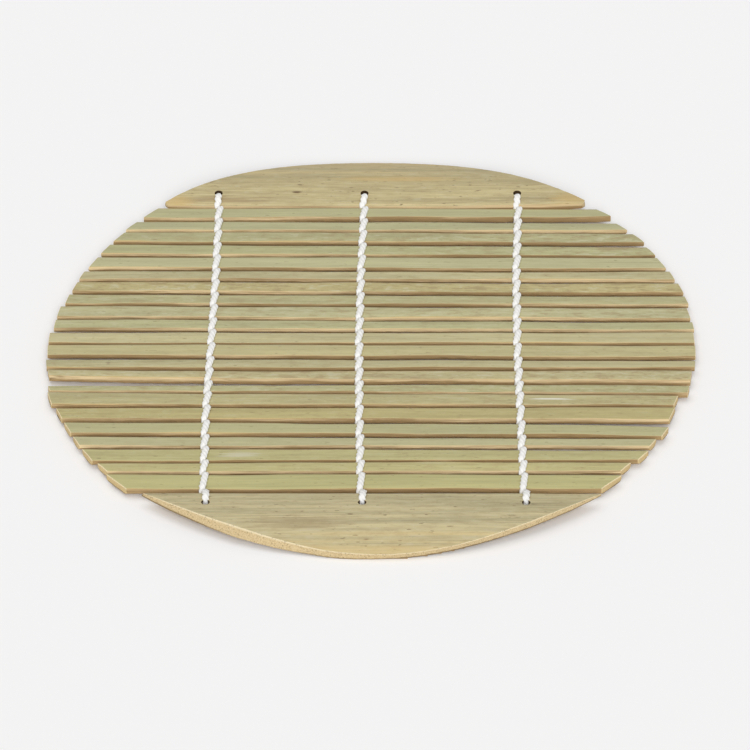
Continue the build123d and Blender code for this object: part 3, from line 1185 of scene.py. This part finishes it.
# %% The skin
TAN = (0.578, 0.423, 0.195, 1)
BROWN = (0.165, 0.108, 0.050, 1)
PATCH = (0.330, 0.235, 0.120, 1)
PALE = (0.620, 0.585, 0.420, 1)
AMBER = (0.620, 0.430, 0.170, 1)


def soft_mark(tree, spot, thread, colour, mark):
    """A soft long mark at one place of the mat, broken up by the fibres."""
    x, y, half_x, half_y, strength, tone = mark
    away = vector_maths(tree, "SUBTRACT", {0: spot, 1: (x * MM, y * MM, 0)})
    size = (1 / (half_x * MM), 1 / (half_y * MM), 0)
    even = vector_maths(tree, "MULTIPLY", {0: away, 1: size})
    far = vector_maths(tree, "LENGTH", {0: even}, "Value")
    broken = plus(tree, far, times(tree, thread, 2.2))
    return mix(tree, times(tree, ramp(tree, broken, 1.15, 0.35), strength), colour, tone)


def skin_finish(name, edge_start, grain, speck, amber_start, marks):
    """Bamboo skin. The worn edge starts at this share of the way from middle to edge, and the
    amber tint of old wood at this share of the way from the rear or inner edge. A mark is its
    place, its half length and half width in millimetres, its strength and its colour."""
    finish, tree = new_finish(name)
    fibre = fibres(tree)
    streak = maths(tree, "SUBTRACT", fibre["Broad"], 0.5)
    thread = maths(tree, "SUBTRACT", fibre["Fine"], 0.5)
    both = plus(tree, times(tree, streak, 0.55 * grain), times(tree, thread, 0.5 * grain))
    tint = attribute(tree, "skin tint", "Color")
    colour = vector_maths(tree, "SCALE", {0: tint, "Scale": plus(tree, both, 1.0)})
    mottle = attribute(tree, "mottle")
    bloom = times(tree, times(tree, fibre["Bloom"], mottle), 0.45)
    blotch = times(tree, times(tree, fibre["Blotches"], mottle), 0.6)
    across = attribute(tree, "across")
    off = maths(tree, "ABSOLUTE", maths(tree, "SUBTRACT", across, 0.5))
    ragged = plus(tree, off, times(tree, streak, 0.22))
    worn = ramp(tree, ragged, edge_start / 2, edge_start / 2 + 0.03)
    aged = ramp(tree, plus(tree, across, streak), amber_start, 1.1)
    for share, tone in (
        (bloom, PALE),
        (blotch, PATCH),
        (times(tree, fibre["Lines"], 0.22), BROWN),
        (times(tree, fibre["Specks"], speck), BROWN),
        (times(tree, worn, 0.75), TAN),
        (times(tree, aged, 0.45), AMBER),
    ):
        colour = mix(tree, share, colour, tone)
    spot = own_place(tree)
    for mark in marks:
        colour = soft_mark(tree, spot, thread, colour, mark)
    relief = plus(tree, fibre["Fine"], times(tree, worn, -0.8))
    rough = plus(tree, times(tree, fibre["Fine"], 0.25), 0.38)
    paint_with(tree, colour, rough, shine=0.35, Normal=bump(tree, relief, 0.05))
    return finish


slat_skin = skin_finish("bamboo skin", 0.93, 0.8, 0.45, 1.05, [
    (-38, -53.2, 7, 1.6, 0.7, PALE), (54, -26.2, 7, 0.5, 0.8, (0.8, 0.78, 0.68, 1)),
    (-79, -9.0, 0.8, 0.7, 0.8, (0.3, 0.23, 0.14, 1)), (74, 51.0, 10, 2.5, 0.5, PATCH),
])
segment_skin = skin_finish("thick culm skin", 1.1, 1.5, 0.85, 0.62, [
    (-46, 74.4, 15, 2.0, 0.6, PATCH), (8, 84.6, 22, 1.9, 0.55, AMBER),
    (-23.6, 77.7, 1.6, 0.6, 0.95, BROWN), (-62, 73.5, 7, 3, 0.6, AMBER),
    (62, 74, 8, 3.5, 0.5, AMBER), (-20, -86.5, 16, 3.5, 0.45, PATCH),
])

# %% [markdown]
# A split side shows the inside of the wall: pale tan, with darker bundles of fibre and a woolly
# surface. A cut end shows the same fibres end on, as small dark dots in a pale ground.

# %% The split sides and the cut ends
LIP = (0.96, 0.87, 0.62, 1)


def split_finish(name, pale, dark, depth):
    """A split face: streaky, woolly and dull, with painted shade towards the bottom, by turns pale
    and brown.
    """
    finish, tree = new_finish(name)
    fibre = fibres(tree)
    wool = plus(tree, times(tree, fibre["Fine"], 0.9), times(tree, fibre["Broad"], 0.6))
    turns = noise(tree, stretched(tree, own_place(tree), (11, 300, 60)))
    # the slat's brown share is partly its own tone and partly painted shade of its gaps
    own = times(tree, attribute(tree, "brown side"), 0.5)
    brown = ramp(tree, plus(tree, turns, own), 0.62, 0.92)
    down = plus(tree, attribute(tree, "down"), times(tree, brown, 0.1))
    # painted shade: the lower part of a split side, down in the gap, is darkened
    painted_gap_shade = ramp(tree, down, 0.3, 0.72)
    dim = plus(tree, times(tree, painted_gap_shade, 0.42), times(tree, brown, 0.34))
    light = ramp(tree, maths(tree, "SUBTRACT", wool, dim), 0.35, 0.95)
    lines = times(tree, fibre["Lines"], 0.5)
    colour = mix(tree, lines, mix(tree, light, dark, pale), BROWN)
    paint_with(tree, colour, rough=0.72, shine=0.2, Normal=bump(tree, wool, depth))
    return finish


def end_finish(name, pale, dark, fineness, depth):
    """End grain: the dots of the fibre bundles in a pale ground, with a pale lip below the skin
    and painted shade as a brown foot."""
    finish, tree = new_finish(name)
    place = stretched(tree, own_place(tree), (fineness, fineness, fineness))
    dots = feed(tree, node(tree, "ShaderNodeTexVoronoi"), {"Vector": place, "Scale": 1.0})
    wool = noise(tree, place, 2.3, 3)
    down = attribute(tree, "down")
    colour = mix(tree, wool, dark, pale)
    for share, strength, tone in (
        (ramp(tree, down, 0.2, 0.06), 0.55, LIP),
        # painted shade: the foot of an end, near the table, is darkened brown
        (ramp(tree, down, 0.74, 0.94), 0.8, BROWN),
        (ramp(tree, dots["Distance"], 0.34, 0.14), 0.45, BROWN),
    ):
        colour = mix(tree, times(tree, share, strength), colour, tone)
    paint_with(tree, colour, rough=0.8, shine=0.15, Normal=bump(tree, wool, depth))
    return finish


split_side = split_finish("split side", (0.84, 0.665, 0.39, 1), (0.39, 0.265, 0.125, 1), 0.12)
cut_end = end_finish("cut end", (0.78, 0.62, 0.34, 1), (0.56, 0.39, 0.17, 1), 2600, 0.12)
trimmed_rim = end_finish(
    "trimmed rim", (0.9, 0.74, 0.45, 1), (0.42, 0.28, 0.12, 1), 1300, 0.35
)

# %% The drilled holes, with painted shade inside
drilled, tree = new_finish("drilled hole")
hole_shade_grain = noise(tree, fibres(tree)["Fine"], 3.0)
# painted shade: the walls of the holes are coloured nearly black, as the shade deep in a hole
colour = mix(tree, hole_shade_grain, (0.045, 0.028, 0.014, 1), (0.14, 0.085, 0.04, 1))
paint_with(tree, colour, rough=0.9, shine=0.1)

# %% Give each face of the bamboo its finish
SKIN, SIDE, END, HOLE = 0, 1, 2, 3
SMOOTH_BELOW_DEG = 28
# a cut end looks at least this much along X, and the skin this much upwards
END_LOOK = 0.2
SKIN_LOOK = 0.7


def give_finishes(piece, finishes, rule):
    """Press flat what reaches below the table, fill the slots, and choose one for each face."""
    for vertex in piece.data.vertices:
        vertex.co.z = max(vertex.co.z, 0.0)
    piece.data.materials.clear()
    for finish in finishes:
        piece.data.materials.append(finish)
    for polygon in piece.data.polygons:
        polygon.material_index = rule(polygon)
    select_only(piece)
    bpy.ops.object.shade_smooth_by_angle(angle=radians(SMOOTH_BELOW_DEG))


def slat_rule(polygon):
    """The cut ends look along X, and the skin looks up."""
    if abs(polygon.normal.x) > END_LOOK:
        return END
    return SKIN if polygon.normal.z > SKIN_LOOK else SIDE


for slat in slats.values():
    give_finishes(slat, [slat_skin, split_side, cut_end], slat_rule)

for segment in segments.values():
    rim = segment.data.attributes["on rim"].data

    def segment_rule(polygon):
        """The rim was marked before, and the holes are found by their place."""
        on_rim = sum(rim[v].value for v in polygon.vertices) / len(polygon.vertices)
        if on_rim > 0.8 and polygon.normal.z > -SKIN_LOOK:
            return END
        if polygon.normal.z > SKIN_LOOK:
            return SKIN
        x, y = polygon.center.x / MM, abs(polygon.center.y / MM) - HOLE_Y
        near = min((x - cord_x) ** 2 + y**2 for cord_x in CORD_PLACES.values())
        return HOLE if near < (HOLE_RADIUS + 0.05) ** 2 else SIDE

    give_finishes(segment, [segment_skin, split_side, trimmed_rim, drilled], segment_rule)

# %% [markdown]
# Cotton is white but never pure white, and it is matt. The fine yarns inside each lobe run
# along the twist, so the pattern follows the strand's own UV map, whose second number already
# turns with the twist.

# %% Cotton
cotton, tree = new_finish("twisted cotton")
strand_uv = node(tree, "ShaderNodeUVMap", uv_map="along the yarn").outputs[0]
hairs = noise(tree, stretched(tree, strand_uv, (1.1, 26, 1)), detail=3)
fluff = noise(tree, stretched(tree, strand_uv, (5, 9, 1)), detail=3)
weave = plus(tree, times(tree, hairs, 0.7), times(tree, fluff, 0.5))
lit = ramp(tree, weave, 0.42, 0.72)
colour = mix(tree, lit, (0.83, 0.82, 0.795, 1), (0.935, 0.925, 0.905, 1))
soft = {"Sheen_Weight": 0.25, "Sheen_Roughness": 0.5}
paint_with(tree, colour, rough=0.9, shine=0.1, **soft, Normal=bump(tree, weave, 0.08))
for piece in [*cords.values(), *knots.values()]:
    piece.data.materials.append(cotton)
print("finishes", [finish.name for finish in bpy.data.materials])

# %% [markdown]
# ## Tie the bamboo and the knots to the bodies
# Each slat and segment rides on its own body, and each knot rides on the front segment. The
# lengths of cord keep the place where they were made, and the CAD stitches they replace are
# hidden.

# %% Bodies and the nodes that are replaced
body_order = ["rear_end"] + [f"slat_{k:02d}" for k in slats] + ["front_end"]
for number, slat in slats.items():
    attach(slat, f"slat_{number:02d}")
    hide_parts(f"slat_{number:02d}")
for segment_name, segment in segments.items():
    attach(segment, segment_name)
    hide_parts(f"{segment_name}_segment")
for gap, piece in sorted(cords.items()):
    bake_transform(piece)
    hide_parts(f"{body_order[gap]}_stitches")
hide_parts("rear_end_stitches")
for cord, piece in knots.items():
    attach(piece, "front_end")
    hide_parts(f"knot_{cord}")
